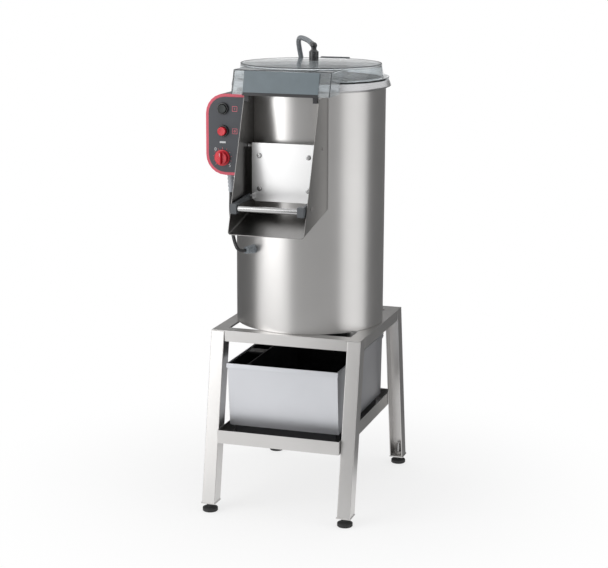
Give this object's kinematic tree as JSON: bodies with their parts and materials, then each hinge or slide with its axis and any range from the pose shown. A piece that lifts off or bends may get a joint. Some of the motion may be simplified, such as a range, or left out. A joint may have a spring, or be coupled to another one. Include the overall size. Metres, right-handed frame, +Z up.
{
  "type": "potato peeler machine",
  "caption": "Floor-standing potato peeler: steel drum with a turning abrasive plate, clear hinged lid, chute with a door, and a stand with a sliding filter box.",
  "frame": {"origin": "on the floor under the middle of the machine's outline", "axes": "+Z up, the chute faces -Y, +X to the right as seen from the front"},
  "size_m": [0.4124, 0.6324, 1.1818],
  "materials": {
    "satin_steel": "satin",
    "bright_steel": "polished",
    "box_steel": "satin",
    "black_plastic": "matte",
    "black_rubber": "matte",
    "dark_grey_plastic": "satin",
    "slate_plastic": "satin",
    "face_grey": "satin",
    "light_grey_plastic": "satin",
    "red_plastic": "gloss",
    "border_red": "satin",
    "start_cap": "satin",
    "clear_plastic": "clear gloss",
    "abrasive": "rough grit",
    "cast_aluminium": "as cast",
    "motor_grey": "painted satin",
    "hose_grey": "satin"
  },
  "bodies": {
    "machine": {"abrasive_liner": "abrasive", "base_ring": "satin_steel", "bearing_housing": "cast_aluminium", "box_gland": "light_grey_plastic", "box_runners": "black_plastic", "chamber_floor": "satin_steel", "contact_block": "black_plastic", "control_box": "dark_grey_plastic", "control_cable": "black_plastic", "control_face": "face_grey", "control_fascia": "border_red", "discharge_chute": "satin_steel", "door_hinge_rod": "bright_steel", "door_neck": "satin_steel", "drain_pipe": "satin_steel", "drive_belt": "black_rubber", "drum_gland": "light_grey_plastic", "drum_shell": "satin_steel", "inlet_pipe": "satin_steel", "leg_front_left": "satin_steel", "leg_front_right": "satin_steel", "leg_rear_left": "satin_steel", "leg_rear_right": "satin_steel", "lid_hinge_bracket": "dark_grey_plastic", "lid_hinge_pin": "bright_steel", "lower_bearing": "bright_steel", "motor_body": "motor_grey", "motor_bracket": "satin_steel", "shaft_seal": "black_rubber", "start_bezel": "black_plastic", "stop_bezel": "black_plastic", "timer_unit": "black_plastic", "top_frame": "satin_steel", "top_rim": "bright_steel", "tray": "satin_steel", "upper_bearing": "bright_steel", "water_hose": "hose_grey"},
    "filter_drawer": {"filter_box": "box_steel", "filter_basket": "black_plastic"},
    "turning_plate": {"abrasive_plate": "abrasive", "drive_shaft": "bright_steel", "driven_pulley": "cast_aluminium"},
    "motor_rotor": {"motor_pulley": "cast_aluminium"},
    "door": {"door_plate": "bright_steel", "door_seal": "black_rubber"},
    "door_lever": {"handle_arm_left": "dark_grey_plastic", "handle_arm_right": "dark_grey_plastic", "handle_bar": "bright_steel"},
    "lid": {"lid_shell": "clear_plastic", "lid_gasket": "black_rubber", "lid_front_panel": "slate_plastic", "water_elbow": "black_plastic", "lid_hinge_leaf": "dark_grey_plastic"},
    "start_cap": {"start_button": "start_cap"},
    "stop_cap": {"stop_button": "red_plastic"},
    "timer_cap": {"timer_knob": "red_plastic"},
    "front_left_foot": {"foot_front_left": "black_rubber"},
    "front_right_foot": {"foot_front_right": "black_rubber"},
    "rear_left_foot": {"foot_rear_left": "black_rubber"},
    "rear_right_foot": {"foot_rear_right": "black_rubber"}
  },
  "joints": [
    {"name": "lid_hinge", "type": "hinge", "parent": "machine", "child": "lid", "pos_m": [0.00375, 0.24945, 1.1155], "axis": [-1, 0, 0], "range_deg": [0, 80], "deforming": ["water_hose"]},
    {"name": "door_hinge", "type": "hinge", "parent": "machine", "child": "door", "pos_m": [0.00375, -0.17045, 0.932], "axis": [-1, 0, 0], "range_deg": [0, 65]},
    {"name": "lever_pivot", "type": "hinge", "parent": "door", "child": "door_lever", "pos_m": [0.00375, -0.18725, 0.811], "axis": [-1, 0, 0], "range_deg": [0, 60]},
    {"name": "filter_drawer_slide", "type": "slide", "parent": "machine", "child": "filter_drawer", "axis": [0, -1, 0], "range_m": [0, 0.38]},
    {"name": "plate_spin", "type": "hinge", "parent": "machine", "child": "turning_plate", "pos_m": [0.00375, 0.03825, 0.781], "axis": [0, 0, 1], "continuous": true},
    {"name": "motor_spin", "type": "hinge", "parent": "machine", "child": "motor_rotor", "pos_m": [0.00375, 0.15425, 0.664], "axis": [0, 0, 1], "continuous": true},
    {"name": "start_press", "type": "slide", "parent": "machine", "child": "start_cap", "axis": [0, 1, 0], "range_m": [0, 0.003], "stiffness_N_per_m": 300},
    {"name": "stop_press", "type": "slide", "parent": "machine", "child": "stop_cap", "axis": [0, 1, 0], "range_m": [0, 0.003], "stiffness_N_per_m": 300},
    {"name": "timer_turn", "type": "hinge", "parent": "machine", "child": "timer_cap", "pos_m": [-0.16275, -0.16025, 0.8975], "axis": [0, 1, 0], "range_deg": [0, 300]},
    {"name": "front_left_foot_turn", "type": "hinge", "parent": "machine", "child": "front_left_foot", "pos_m": [-0.17525, -0.23025, 0], "axis": [0, 0, 1], "continuous": true},
    {"name": "front_right_foot_turn", "type": "hinge", "parent": "machine", "child": "front_right_foot", "pos_m": [0.18275, -0.23025, 0], "axis": [0, 0, 1], "continuous": true},
    {"name": "rear_left_foot_turn", "type": "hinge", "parent": "machine", "child": "rear_left_foot", "pos_m": [-0.17525, 0.29675, 0], "axis": [0, 0, 1], "continuous": true},
    {"name": "rear_right_foot_turn", "type": "hinge", "parent": "machine", "child": "rear_right_foot", "pos_m": [0.18275, 0.29675, 0], "axis": [0, 0, 1], "continuous": true}
  ],
  "couplings": [
    {"joint": "motor_spin", "follows": "plate_spin", "ratio": 3.6364}
  ]
}
